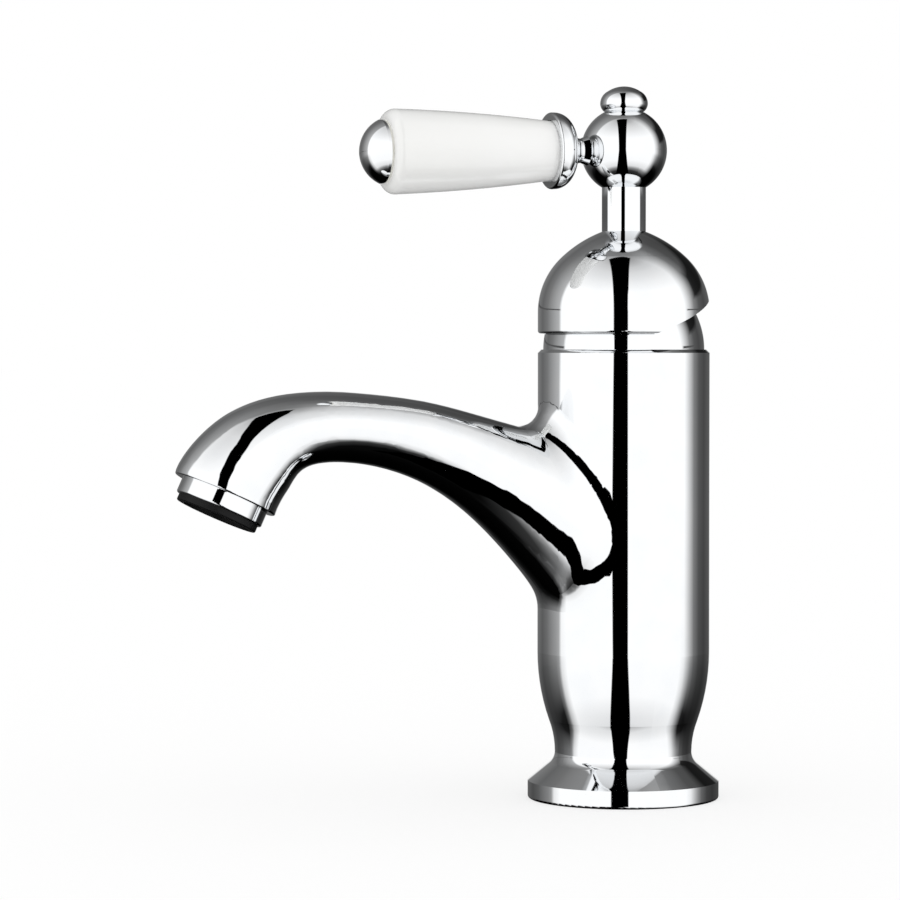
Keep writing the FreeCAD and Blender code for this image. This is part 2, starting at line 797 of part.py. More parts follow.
recess_front = disc_rest_back + size.mixing_recess_back - size.mixing_recess_end_radius
recess_back = disc_rest_back + size.mixing_recess_back + size.mixing_recess_end_radius
moving_disc_radius = housing_bore - size.moving_disc_room
moving_disc = new_body("moving_disc")
pad_up(moving_disc, [(0, disc_rest_back, moving_disc_radius)], moving_disc_bottom,
       size.moving_disc_thickness)
recess_side = size.mixing_recess_half_straight
recess_end = size.mixing_recess_half_straight + size.mixing_recess_end_radius
recess_middle = disc_rest_back + size.mixing_recess_back
pocket_level(moving_disc, [[
    crown(-recess_side, recess_front, size.mixing_recess_end_radius),
    (recess_side, recess_front),
    crown(recess_end, recess_middle, size.mixing_recess_end_radius),
    crown(recess_side, recess_back, size.mixing_recess_end_radius),
    (-recess_side, recess_back),
    crown(-recess_end, recess_middle, size.mixing_recess_end_radius),
]], moving_disc_bottom, size.mixing_recess_depth, upwards=True)

carrier_flat = moving_disc_radius - size.carrier_flat_inset
flat_side = side_of(moving_disc_radius, carrier_flat)
carrier_front = disc_rest_back - flat_side
carrier_back = disc_rest_back + flat_side
socket_radius = size.spindle_ball_radius + size.running_clearance
disc_carrier = new_body("disc_carrier")
pad_up(disc_carrier, [[
    (-carrier_flat, carrier_front),
    crown(0, disc_rest_back - moving_disc_radius, moving_disc_radius),
    crown(carrier_flat, carrier_front, moving_disc_radius),
    (carrier_flat, carrier_back),
    crown(0, disc_rest_back + moving_disc_radius, moving_disc_radius),
    crown(-carrier_flat, carrier_back, moving_disc_radius),
]], moving_disc_top, size.carrier_thickness)
pocket_level(disc_carrier, [(0, 0, socket_radius)], carrier_top, size.carrier_thickness - size.carrier_floor)

turned_piece("cartridge_housing", [
    (housing_bore, housing_bottom),
    (size.cartridge_radius, housing_bottom),
    (size.cartridge_radius, housing_shoulder),
    (neck_outer_radius, housing_shoulder),
    (neck_outer_radius, neck_top),
    (neck_bore_radius, neck_top),
    (neck_bore_radius, housing_ceiling),
    (housing_bore, housing_ceiling),
])

ring_height = rotor_flange_top + size.o_ring_height
groove_depth = size.o_ring_radius * 2 - size.rotor_neck_clearance
rotor = turned_piece("rotor", [
    (0, rotor_bottom),
    (housing_bore - size.running_clearance, rotor_bottom),
    (housing_bore - size.running_clearance, rotor_flange_top),
    (rotor_neck_radius, rotor_flange_top),
    (rotor_neck_radius, ring_height),
    (rotor_neck_radius - groove_depth, ring_height),
    (rotor_neck_radius - groove_depth, ring_height + size.o_ring_radius * 2),
    (rotor_neck_radius, ring_height + size.o_ring_radius * 2),
    (rotor_neck_radius, rotor_top),
    (0, rotor_top),
])
guide_inner = carrier_flat + size.running_clearance
pad_up(rotor, [
    box_outline(guide_inner, -size.guide_half_length, guide_inner + size.guide_thickness,
                size.guide_half_length),
    box_outline(-guide_inner - size.guide_thickness, -size.guide_half_length, -guide_inner,
                size.guide_half_length),
], moving_disc_top + size.running_clearance, rotor_bottom - moving_disc_top)
slot_half = size.tongue_width / 2 + size.running_clearance
slot_front = size.tongue_thickness / 2 + size.slot_front_room
slot_back = size.tongue_thickness / 2 + size.slot_back_room
pocket_level(rotor, [box_outline(-slot_half, -slot_front, slot_half, slot_back)],
             rotor_top, rotor_top - rotor_bottom)
pocket_across(rotor, "YZ_Plane", [(0, pivot_height, size.pin_radius + size.pin_fit)],
              rotor_neck_radius * 2 + size.overrun)

o_ring = new_body("rotor_o_ring")
turn_shapes(o_ring, [(rotor_neck_radius - groove_depth + size.o_ring_radius,
                      ring_height + size.o_ring_radius, size.o_ring_radius)])

pin_half = rotor_neck_radius - size.pin_end_gap
pin = new_body("spindle_pin")
pin_sketch = new_sketch(pin, "YZ_Plane")
draw_circle(pin_sketch, 0, pivot_height, size.pin_radius)
pin_pad = pin.newObject("PartDesign::Pad", "Pad")
pin_pad.Profile = pin_sketch
pin_pad.setExpression("Length", formula(pin_half * 2))
pin_pad.Midplane = True


# Spindle: a square top in the handle, a flat tongue on the pin, and a ball end in the carrier

square_half = size.spindle_square / 2
tongue_bottom = carrier_top + size.tongue_lift
square_bottom = pivot_height + size.spindle_square_start
square_top = pivot_height + size.spindle_square_top
spindle = new_body("spindle")
pad_up(spindle, [box_outline(-size.tongue_width / 2, -size.tongue_thickness / 2, size.tongue_width / 2,
                             size.tongue_thickness / 2)], tongue_bottom, square_bottom - tongue_bottom)
pad_up(spindle, [box_outline(-square_half, -square_half, square_half, square_half)],
       square_bottom, square_top - square_bottom)
leg_radius = size.spindle_ball_radius - size.spindle_leg_inset
leg_rise = side_of(size.spindle_ball_radius, leg_radius)
turn_shapes(spindle, [[
    (0, spindle_ball_height - size.spindle_ball_radius),
    crown(size.spindle_ball_radius, spindle_ball_height, size.spindle_ball_radius),
    crown(leg_radius, spindle_ball_height + leg_rise, size.spindle_ball_radius),
    (leg_radius, tongue_bottom + size.overrun),
    (0, tongue_bottom + size.overrun),
]])
pocket_across(spindle, "YZ_Plane", [(0, pivot_height, size.pin_radius + size.pin_play)],
              size.spindle_square * 2)
pocket_level(spindle, [(0, 0, size.screw_radius + size.thread_clearance)], square_top,
             size.handle_thread_depth)


# Retaining nut and the fixed ball cover that the handle's dome slides over

nut_radius = thread_radius - size.thread_clearance * 2
nut_top = size.body_height + size.nut_rise
hex_bottom = nut_top - size.nut_hex_height
nut = new_body("retaining_nut")
pad_up(nut, [(0, 0, nut_radius)], housing_shoulder, hex_bottom - housing_shoulder)
pad_up(nut, [hexagon(nut_radius * 2 - size.nut_hex_inset)], hex_bottom, size.nut_hex_height)
pocket_level(nut, [(0, 0, neck_outer_radius + size.cartridge_clearance)], nut_top,
             nut_top - housing_shoulder)

cover_radius = body_radius - size.cover_inset
cover_inner = cover_radius - size.cover_wall
cover_opening = cover_radius - size.cover_opening_inset
cover_bore = nut_radius + size.thread_clearance
skirt_inner = side_of(cover_inner, size.cover_skirt_height)
turned_piece("ball_cover", [
    (cover_bore, pivot_height),
    (cover_radius, pivot_height),
    crown(cover_opening, pivot_height + side_of(cover_radius, cover_opening),
          cover_radius),
    (cover_opening, pivot_height + side_of(cover_inner, cover_opening)),
    cove(skirt_inner, pivot_height + size.cover_skirt_height, cover_inner),
    (cover_bore, pivot_height + size.cover_skirt_height),
])


# Handle: dome with its socket, screw, stem with the ball hub, and finial

dome_inner = cover_radius + size.dome_clearance
dome_bottom = pivot_height + size.dome_bottom_gap
dome_shoulder = dome_bottom + size.dome_skirt_height
dome_crown = dome_shoulder + size.dome_crown_height
dome_top = dome_crown + size.dome_top_height
boss_bottom = pivot_height + size.boss_rise
socket_top = square_top + size.socket_clearance * 2
web_top = socket_top + size.socket_web
head_top = web_top + size.screw_head_height
spigot_bottom = head_top + size.spigot_gap
screw_bore = size.screw_radius + size.running_clearance
head_radius = size.screw_radius + size.screw_head_step
head_bore = head_radius + size.running_clearance
dome = turned_piece("dome_form", [
    cove(side_of(dome_inner, size.dome_bottom_gap), dome_bottom, dome_inner),
    (body_radius - size.dome_edge_round, dome_bottom),
    crown(body_radius, dome_bottom + size.dome_edge_round, size.dome_edge_round),
    (body_radius, dome_shoulder),
    crown(body_radius - size.dome_crown_inset, dome_crown, easing_radius(
        size.dome_crown_inset, size.dome_crown_height)),
    crown(stem_radius, dome_top, size.dome_top_curve),
    (spigot_radius, dome_top),
    (spigot_radius, spigot_bottom),
    (head_bore, spigot_bottom),
    (head_bore, web_top),
    (screw_bore, web_top),
    (screw_bore, boss_bottom),
    (size.boss_radius, boss_bottom),
    (size.boss_radius, pivot_height + side_of(dome_inner, size.boss_radius)),
])
socket_half = square_half + size.socket_clearance
pocket_level(dome, [box_outline(-socket_half, -socket_half, socket_half, socket_half)], boss_bottom,
             socket_top - boss_bottom, upwards=True)
# The skirt's back is cut past the lift angle, to stay clear of the barrel when the lever is up
cut_angle = size.lift_angle + size.skirt_cut_margin
cut_reach = body_radius + size.overrun
cut_slope = sine(cut_angle) / cosine(cut_angle)
pocket_across(dome, "YZ_Plane", [[
    (0, dome_bottom),
    (0, dome_bottom - size.overrun),
    (cut_reach, dome_bottom - size.overrun),
    (cut_reach, dome_bottom + cut_reach * cut_slope),
]], cut_reach * 2)
# Its edge is tucked in there, towards the ball, by a ring that stands off to the front
tuck_radius = body_radius + size.skirt_tuck_step
tuck_edge_radius = tuck_radius - size.skirt_tuck_depth
tuck = turned_piece("skirt_tuck", [
    (tuck_edge_radius, -size.overrun),
    (tuck_radius + size.overrun, -size.overrun),
    (tuck_radius + size.overrun, size.skirt_tuck_height),
    (tuck_radius, size.skirt_tuck_height),
    cove(tuck_edge_radius, 0, easing_radius(size.skirt_tuck_depth, size.skirt_tuck_height)),
])
place(tuck, -size.skirt_tuck_shift, dome_bottom - size.skirt_tuck_shift * cut_slope, cut_angle)
subtract("dome_cap", dome, [tuck])

screw = turned_piece("handle_screw", [
    (0, square_top - size.handle_thread_depth + size.overrun),
    (size.screw_radius, square_top - size.handle_thread_depth + size.overrun),
    (size.screw_radius, web_top),
    (head_radius, web_top),
    (head_radius, head_top),
    (0, head_top),
])
pocket_level(screw, [hexagon(size.screw_socket_flats)], head_top, size.screw_socket_depth)

hub_height = dome_top + size.stem_height
stem_top = hub_height - side_of(size.hub_radius, stem_radius)
finial_foot_radius = size.finial_radius - size.finial_foot_inset
finial_shoulder_radius = size.finial_radius - size.finial_shoulder_inset
seat_radius = finial_foot_radius + size.finial_land
finial_seat = hub_height + side_of(size.hub_radius, seat_radius)
finial_middle = finial_seat + size.finial_middle_height
finial_shoulder = finial_middle + size.finial_shoulder_height
finial_hole_radius = size.stud_radius + size.thread_clearance
finial_hole_bottom = finial_seat - size.finial_stud_length - size.running_clearance
spigot_outside = spigot_radius - size.thread_clearance
hub_form = turned_piece("hub_form", [
    (0, spigot_bottom + size.thread_clearance),
    (spigot_outside, spigot_bottom + size.thread_clearance),
    (spigot_outside, dome_top),
    (stem_radius, dome_top),
    (stem_radius, stem_top),
    crown(size.hub_radius, hub_height, size.hub_radius),
    crown(seat_radius, finial_seat, size.hub_radius),
    (finial_hole_radius, finial_seat),
    (finial_hole_radius, finial_hole_bottom),
    (0, finial_hole_bottom),
])

turned_piece("finial", [
    (0, finial_seat - size.finial_stud_length),
    (size.stud_radius, finial_seat - size.finial_stud_length),
    (size.stud_radius, finial_seat),
    (finial_foot_radius, finial_seat),
    crown(size.finial_radius, finial_middle, easing_radius(
        size.finial_foot_inset, size.finial_middle_height)),
    crown(finial_shoulder_radius, finial_shoulder, easing_radius(
        size.finial_shoulder_inset, size.finial_shoulder_height)),
    crown(0, finial_shoulder + size.finial_top_height, easing_radius(
        size.finial_top_height, finial_shoulder_radius)),
])


# Lever: stud, bell collar, porcelain grip between washers, and end button


def along_lever(item):
    return place(item, 0, hub_height, size.lever_droop_angle + 90)


stud_hole_radius = size.stud_radius + size.thread_clearance
collar_start = size.hub_radius - size.collar_seat
lever_hole = along_lever(turned_piece("lever_hole_core", [
    (0, size.stud_start - size.running_clearance),
    (stud_hole_radius, size.stud_start - size.running_clearance),
    (stud_hole_radius, collar_start),
    (size.collar_foot_radius + size.cartridge_clearance, collar_start),
    (size.collar_foot_radius + size.cartridge_clearance, size.hub_radius + size.overrun),
    (0, size.hub_radius + size.overrun),
]))
subtract("hub_stem", hub_form, [lever_hole])

collar_waist = collar_start + size.collar_foot_length
collar_bell = collar_waist + size.collar_bell_length
collar_rim = collar_bell + size.collar_rim_length
collar_end = collar_rim + size.collar_lip_length
recess_floor = collar_end - size.collar_recess_depth
bell_radius = size.collar_waist_radius + size.collar_bell_step
recess_radius = size.porcelain_start_radius + size.collar_recess_clearance
rim_radius = recess_radius + size.collar_lip_width
along_lever(turned_piece("lever_collar", [
    (stud_hole_radius, collar_start),
    (size.collar_foot_radius, collar_start),
    (size.collar_waist_radius, collar_waist),
    cove(bell_radius, collar_bell, easing_radius(size.collar_bell_step, size.collar_bell_length)),
    crown(rim_radius, collar_rim, easing_radius(rim_radius - bell_radius, size.collar_rim_length)),
    (rim_radius, collar_end - size.collar_lip_round),
    crown(rim_radius - size.collar_lip_round, collar_end, size.collar_lip_round),
    (recess_radius, collar_end),
    (recess_radius, recess_floor),
    (stud_hole_radius, recess_floor),
]))

grip_start = recess_floor + size.lever_washer_thickness
grip_shoulder = grip_start + size.porcelain_swell_length
grip_end = grip_shoulder + size.porcelain_end_length
grip_bore = size.stud_radius + size.porcelain_bore_clearance
grip_radius = size.porcelain_start_radius + size.porcelain_swell_step
grip_end_radius = grip_radius - size.porcelain_end_inset
along_lever(sleeve("inner_lever_washer", grip_bore, size.porcelain_start_radius, recess_floor, grip_start))

along_lever(turned_piece("porcelain_grip", [
    (grip_bore, grip_start),
    (size.porcelain_start_radius, grip_start),
    crown(grip_radius, grip_shoulder, size.porcelain_swell),
    crown(grip_end_radius, grip_end, easing_radius(
        size.porcelain_end_inset, size.porcelain_end_length)),
    (grip_bore, grip_end),
]))

button_start = grip_end + size.lever_washer_thickness
along_lever(sleeve("outer_lever_washer", grip_bore, grip_end_radius - size.running_clearance, grip_end,
                   button_start))

button_radius = grip_end_radius - size.button_inset
button_rim = button_start + size.button_edge
thread_end = button_start + size.button_thread_depth
along_lever(turned_piece("lever_end_button", [
    (stud_hole_radius, button_start),
    (button_radius, button_start),
    (button_radius, button_rim),
    crown(0, button_rim + size.button_crown, easing_radius(size.button_crown, button_radius)),
    (0, thread_end),
    (stud_hole_radius, thread_end),
]))

stud_end = thread_end - size.stud_end_gap
along_lever(turned_piece("lever_stud", [
    (0, size.stud_start),
    (size.stud_radius, size.stud_start),
    (size.stud_radius, stud_end),
    (0, stud_end),
]))


# Aerator: threaded housing, perforated insert with its nozzle ring, and washer, square to the outlet


def at_outlet(item):
    drop = size.aerator_flange_height
    return place(item, -size.spout_reach - drop * sine(size.outlet_tilt_angle),
                 outlet_height - drop * cosine(size.outlet_tilt_angle), -size.outlet_tilt_angle)


flange_radius = size.aerator_thread_radius + size.aerator_flange_step
aerator_top = size.aerator_flange_height + size.aerator_thread_length
at_outlet(turned_piece("aerator_housing", [
    (aerator_bore_radius, 0),
    (flange_radius - size.aerator_edge_round, 0),
    crown(flange_radius, size.aerator_edge_round, size.aerator_edge_round),
    (flange_radius, size.aerator_flange_height),
    (thread_outside, size.aerator_flange_height),
    (thread_outside, aerator_top),
    (aerator_bore_radius, aerator_top),
]))

nozzle_radius = flange_radius - size.nozzle_inset
insert_radius = aerator_bore_radius - size.thread_clearance
insert = turned_piece("aerator_insert", [
    (0, size.nozzle_recess - size.nozzle_height),
    (nozzle_radius - size.nozzle_wall, size.nozzle_recess - size.nozzle_height),
    (nozzle_radius - size.nozzle_wall, -size.nozzle_height),
    (nozzle_radius - size.nozzle_edge_round, -size.nozzle_height),
    crown(nozzle_radius, size.nozzle_edge_round - size.nozzle_height, size.nozzle_edge_round),
    (nozzle_radius, 0),
    (insert_radius, 0),
    (insert_radius, size.aerator_insert_height),
    (0, size.aerator_insert_height),
])
# Each ring of jets: its radius as a share of the insert's, and how many jets it has
jet_ring_shares = [(0.33, 6), (0.68, 12)]
jet_holes = [(0, 0, size.jet_hole_radius)]
for ring_share, jet_count in jet_ring_shares:
    for jet in range(jet_count):
        angle = 2 * math.pi * jet / jet_count
        jet_holes.append((insert_radius * (ring_share * math.cos(angle)),
                          insert_radius * (ring_share * math.sin(angle)), size.jet_hole_radius))
pocket_level(insert, jet_holes, size.aerator_insert_height, size.aerator_insert_height + size.nozzle_height)
at_outlet(insert)

at_outlet(sleeve("aerator_washer", aerator_bore_radius, thread_outside - size.thread_clearance,
                 aerator_top, aerator_top + size.aerator_washer_thickness))


# Check every object, then write one STEP file for each piece

pieces = [
    "tap_body", "base_gasket", "cartridge_base", "inlet_seals", "disc_seals", "fixed_disc", "moving_disc",
    "disc_carrier", "cartridge_housing", "rotor", "rotor_o_ring", "spindle_pin", "spindle",
    "retaining_nut", "ball_cover", "dome_cap", "handle_screw", "hub_stem", "finial", "lever_stud",
    "lever_collar", "inner_lever_washer", "porcelain_grip", "outer_lever_washer", "lever_end_button",
    "aerator_housing", "aerator_insert", "aerator_washer",
]
doc.recompute()

for item in doc.Objects:
    if "Invalid" in item.State or "Error" in item.State:
        raise RuntimeError("%s (%s) failed: %s" % (item.Label, item.TypeId, item.State))
    if item.TypeId == "PartDesign::Pocket" and not item.Shape.Volume < item.BaseFeature.Shape.Volume:
        raise RuntimeError("%s cuts nothing from %s" % (item.Name, item.getParent().Label))

os.makedirs("parts", exist_ok=True)
for label in pieces:
    shape = doc.getObjectsByLabel(label)[0].Shape
    if shape.isNull() or not shape.isValid():
        raise RuntimeError(label + " has no valid shape")
for label in pieces:
    shape = doc.getObjectsByLabel(label)[0].Shape
    shape.exportStep("parts/%s.step" % label)
    print(label, len(shape.Solids), round(shape.Volume))
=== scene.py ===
import json
import math

import bmesh
import bpy
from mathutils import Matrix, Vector

# Single-lever basin mixer tap in bright chrome, with a white porcelain lever.
# Metres, +Z up, spout along -Y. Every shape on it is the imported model's own.

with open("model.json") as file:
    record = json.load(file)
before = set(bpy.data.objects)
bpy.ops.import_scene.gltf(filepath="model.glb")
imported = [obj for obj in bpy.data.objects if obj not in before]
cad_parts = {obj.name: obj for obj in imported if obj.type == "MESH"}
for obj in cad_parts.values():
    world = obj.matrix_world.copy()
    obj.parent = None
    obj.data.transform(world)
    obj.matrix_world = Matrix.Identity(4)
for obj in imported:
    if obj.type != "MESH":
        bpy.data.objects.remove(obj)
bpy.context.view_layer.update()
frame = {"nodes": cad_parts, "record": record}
scene = bpy.context.scene
scene.view_settings.view_transform = "Standard"


# Camera, where the photograph was taken from

cameraView = {
    "azimuth": 67.6,     # degrees round the barrel from the spout's side
    "distance": 0.963,   # from the barrel's axis
    "height": 0.1264,    # above the basin's deck
    "swing": 2.88,       # degrees to the left of the barrel
    "dip": 1.74,         # degrees below level
    "lens": 138,         # millimetres, on a 36 mm wide picture
}
print("camera")
cameraData = bpy.data.cameras.new("camera")
cameraData.lens = cameraView["lens"]
camera = bpy.data.objects.new("camera", cameraData)
azimuth = math.radians(cameraView["azimuth"])
towardsCamera = Vector((math.sin(azimuth), -math.cos(azimuth), 0))
camera.location = towardsCamera * cameraView["distance"] + Vector((0, 0, cameraView["height"]))
camera.rotation_euler = (
    math.radians(90 - cameraView["dip"]), 0, azimuth + math.radians(cameraView["swing"]))
scene.collection.objects.link(camera)
scene.camera = camera


# Nodes


def hexColour(code):
    # an sRGB hex colour as linear light
    channels = [int(code[i:i + 2], 16) / 255 for i in (1, 3, 5)]
    linear = [c / 12.92 if c <= 0.04045 else ((c + 0.055) / 1.055) ** 2.4 for c in channels]
    return (*linear, 1)


def addNode(tree, kind, settings=None, links=None):
    # settings go to a ramp's stops, to properties or to sockets, and links are {input: output
    # socket}. A stop is a place from -1 to 1 and the two digits of an sRGB grey
    node = tree.nodes.new(kind)
    for name, value in (settings or {}).items():
        if name == "stops":
            elements = node.color_ramp.elements
            for _ in value[len(elements):]:
                elements.new(0.5)
            for element, (place, grey) in zip(elements, value):
                element.position = (place + 1) / 2
                element.color = hexColour("#" + grey * 3)
        elif isinstance(name, str) and hasattr(node, name):
            setattr(node, name, value)
        else:
            node.inputs[name].default_value = value
    for name, socket in (links or {}).items():
        tree.links.new(socket, node.inputs[name])
    return node


# a Mix node's sockets for colours: its inputs, and its output
mixShare, mixA, mixB = 0, 6, 7
mixed = 2


def newMaterial(name):
    material = bpy.data.materials.new(name)
    material.use_nodes = True
    material.node_tree.nodes.clear()
    return material, material.node_tree


# The studio: a white world, a white sweep, and a light tent that only the reflections see

print("world")
world = bpy.data.worlds.new("whiteStudio")
world.use_nodes = True
world.node_tree.nodes["Background"].inputs["Color"].default_value = hexColour("#FFFFFF")
scene.world = world


def stageObject(name, bm, material, hiddenFrom):
    mesh = bpy.data.meshes.new(name)
    bm.to_mesh(mesh)
    bm.free()
    mesh.materials.append(material)
    piece = bpy.data.objects.new(name, mesh)
    scene.collection.objects.link(piece)
    for rays in hiddenFrom:
        setattr(piece, "visible_" + rays, False)
    return piece


# painted plywood sweep: white to the camera, with a pale shadow of the tap, and grey where it
# lights the porcelain
sweep = {
    "size": 30,
    "paint": "#FFFFFF",
    "underside": "#F4F4F4",   # what the porcelain's underside sees of it
    "shadowShare": 0.4,       # how much of the tap's shadow it keeps
}
print("sweep")
sweepMaterial, tree = newMaterial("paintedSweep")
seen = addNode(tree, "ShaderNodeLightPath")
grey = addNode(tree, "ShaderNodeBsdfDiffuse", {"Color": hexColour(sweep["underside"])})
white = addNode(
    tree, "ShaderNodeEmission", {"Color": hexColour(sweep["paint"]), "Strength": 1.0})
shadowed = addNode(tree, "ShaderNodeBsdfDiffuse", {"Color": hexColour(sweep["paint"])})
paint = addNode(
    tree, "ShaderNodeMixShader", {0: sweep["shadowShare"]},
    {1: white.outputs[0], 2: shadowed.outputs[0]})
paint = addNode(
    tree, "ShaderNodeMixShader", None,
    {0: seen.outputs["Is Camera Ray"], 1: grey.outputs[0], 2: paint.outputs[0]})
addNode(tree, "ShaderNodeOutputMaterial", links={"Surface": paint.outputs[0]})
bm = bmesh.new()
bmesh.ops.create_grid(bm, x_segments=1, y_segments=1, size=sweep["size"] / 2)
stageObject("floor", bm, sweepMaterial, hiddenFrom=("glossy",))

# white nylon tent: its lining is bright beside the camera, and falls off to grey behind and
# overhead. The table is dark below it. A dark seam runs round its sides, which edges the handle's
# stem, and a dark curtain hangs at its back right, which edges the hub and the dome's shoulder
tent = {
    "radius": 4,
    "height": 0.09,           # of its middle, the same as the spout's
    "segments": (64, 32),     # round it, and from top to bottom
    "strength": 1.12,         # a little over white, so that the chrome shows the fabric as white
    # the rest are places seen from its middle: from -1 to 1, front runs from behind the tap to the
    # camera, right to the picture's right, and up from the table to the roof
    "gapCentre": -0.064,      # the gap that the camera looks through, along right
    "gapHalf": 0.163,
    "gapEdge": 0.008,
    "gapSpread": 0.09,        # how much the gap widens down to the table
    "sidesMeet": (-0.3, 0.3),     # where the left lining turns into the right one, along right
    "tablesMeet": (-0.2, 0.15),   # and the back of the table into its front, along front
    "shades": {   # how light the fabric is along one of these directions
        "leftLining": ("front", [
            (-0.99, "F0"), (-0.965, "78"), (-0.75, "61"), (-0.54, "74"), (-0.34, "93"),
            (-0.1, "B0"), (-0.02, "FF")]),
        "rightLining": ("front", [
            (-0.99, "F0"), (-0.965, "5A"), (-0.71, "45"), (-0.5, "54"), (-0.31, "7F"),
            (-0.12, "D4"), (0.02, "FF")]),
        "curtainHeight": ("up", [(0.2, "FF"), (0.26, "68"), (0.5, "68"), (0.62, "FF")]),
        "curtainReach": ("front", [(-0.97, "FF"), (-0.93, "00"), (-0.44, "00"), (-0.32, "FF")]),
        "roof": ("up", [
            (0.5, "FF"), (0.69, "EF"), (0.87, "D8"), (0.94, "C6"), (0.98, "AB"), (1, "91")]),
        "frontTable": ("up", [
            (-0.92, "08"), (-0.82, "30"), (-0.74, "88"), (-0.66, "E0"), (-0.45, "FA"),
            (0, "FF")]),
        "backTable": ("up", [
            (-0.54, "08"), (-0.44, "34"), (-0.32, "8C"), (-0.16, "C0"), (-0.05, "FF")]),
        "seamHeight": ("up", [(0.041, "FF"), (0.047, "50"), (0.066, "50"), (0.072, "FF")]),
        "seamReach": ("front", [(-0.97, "FF"), (-0.96, "00"), (-0.1, "00"), (-0.02, "FF")]),
    },
}
print("light tent")
tentMaterial, tree = newMaterial("nylonTent")
place = addNode(tree, "ShaderNodeTexCoord")
turned = addNode(
    tree, "ShaderNodeVectorRotate", {"rotation_type": "Z_AXIS", "Angle": math.pi / 2 - azimuth},
    {"Vector": place.outputs["Object"]})
outwards = addNode(
    tree, "ShaderNodeVectorMath", {"operation": "NORMALIZE"}, {0: turned.outputs[0]})
parts = addNode(tree, "ShaderNodeSeparateXYZ", links={0: outwards.outputs[0]})
front, right, up = parts.outputs

along = {}
for name, direction in (("front", front), ("up", up)):
    share = addNode(
        tree, "ShaderNodeMapRange", {"From Min": -1, "From Max": 1}, {"Value": direction})
    along[name] = share.outputs["Result"]
shades = {}
for name, (direction, stops) in tent["shades"].items():
    ramp = addNode(tree, "ShaderNodeValToRGB", {"stops": stops}, {"Fac": along[direction]})
    shades[name] = ramp.outputs["Color"]
lighten, multiply, darken = (
    {"data_type": "RGBA", "blend_type": how, mixShare: 1.0}
    for how in ("LIGHTEN", "MULTIPLY", "DARKEN"))

# lining, with the curtain on its right side
curtain = addNode(
    tree, "ShaderNodeMix", lighten,
    {mixA: shades["curtainHeight"], mixB: shades["curtainReach"]})
rightLining = addNode(
    tree, "ShaderNodeMix", multiply, {mixA: shades["rightLining"], mixB: curtain.outputs[mixed]})
leftEnd, rightEnd = tent["sidesMeet"]
sides = addNode(
    tree, "ShaderNodeMapRange", {"From Min": leftEnd, "From Max": rightEnd}, {"Value": right})
lining = addNode(
    tree, "ShaderNodeMix", {"data_type": "RGBA"},
    {mixShare: sides.outputs["Result"], mixA: shades["leftLining"],
     mixB: rightLining.outputs[mixed]})

# table
backEnd, frontEnd = tent["tablesMeet"]
depth = addNode(
    tree, "ShaderNodeMapRange", {"From Min": backEnd, "From Max": frontEnd}, {"Value": front})
table = addNode(
    tree, "ShaderNodeMix", {"data_type": "RGBA"},
    {mixShare: depth.outputs["Result"], mixA: shades["backTable"], mixB: shades["frontTable"]})

# gap: black in front, where a place is nearer to the gap's middle than half its width
offGap = addNode(
    tree, "ShaderNodeMath", {"operation": "SUBTRACT", 1: tent["gapCentre"]}, {0: right})
offGap = addNode(tree, "ShaderNodeMath", {"operation": "ABSOLUTE"}, {0: offGap.outputs[0]})
low = addNode(tree, "ShaderNodeMath", {"operation": "MINIMUM", 1: 0.0}, {0: up})
offGap = addNode(
    tree, "ShaderNodeMath", {"operation": "MULTIPLY_ADD", 1: tent["gapSpread"]},
    {0: low.outputs[0], 2: offGap.outputs[0]})
gap = addNode(
    tree, "ShaderNodeMapRange",
    {"From Min": tent["gapHalf"] - tent["gapEdge"], "From Max": tent["gapHalf"] + tent["gapEdge"]},
    {"Value": offGap.outputs[0]})
behind = addNode(tree, "ShaderNodeMath", {"operation": "LESS_THAN", 1: 0.0}, {0: front})
gap = addNode(
    tree, "ShaderNodeMath", {"operation": "MAXIMUM"},
    {0: gap.outputs["Result"], 1: behind.outputs[0]})

# the fabric's shade: each layer is laid over those before it
seam = addNode(
    tree, "ShaderNodeMix", lighten, {mixA: shades["seamHeight"], mixB: shades["seamReach"]})
fabric = lining.outputs[mixed]
for how, layer in (
        (multiply, shades["roof"]), (multiply, table.outputs[mixed]),
        (multiply, gap.outputs[0]), (darken, seam.outputs[mixed])):
    fabric = addNode(tree, "ShaderNodeMix", how, {mixA: fabric, mixB: layer}).outputs[mixed]
glow = addNode(tree, "ShaderNodeEmission", {"Strength": tent["strength"]}, {"Color": fabric})
addNode(tree, "ShaderNodeOutputMaterial", links={"Surface": glow.outputs[0]})
bm = bmesh.new()
roundIt, downIt = tent["segments"]
bmesh.ops.create_uvsphere(bm, u_segments=roundIt, v_segments=downIt, radius=tent["radius"])
shell = stageObject(
    "lightTent", bm, tentMaterial, hiddenFrom=("camera", "diffuse", "transmission", "shadow"))
shell.location.z = tent["height"]


# Finishes

usualFinish = {
    "metallic": 0.0,
    "specular": 0.5,
    "coat": 0.0,
    "coatRoughness": 0.03,
    "stretch": (1, 1, 1),      # how much finer the patterns are along X, Y and Z
    "grainDetail": 3.0,
    "grainRange": (0.3, 0.7),  # the part of the noise that goes from colour to shade
    "wavesDetail": 1.0,
}
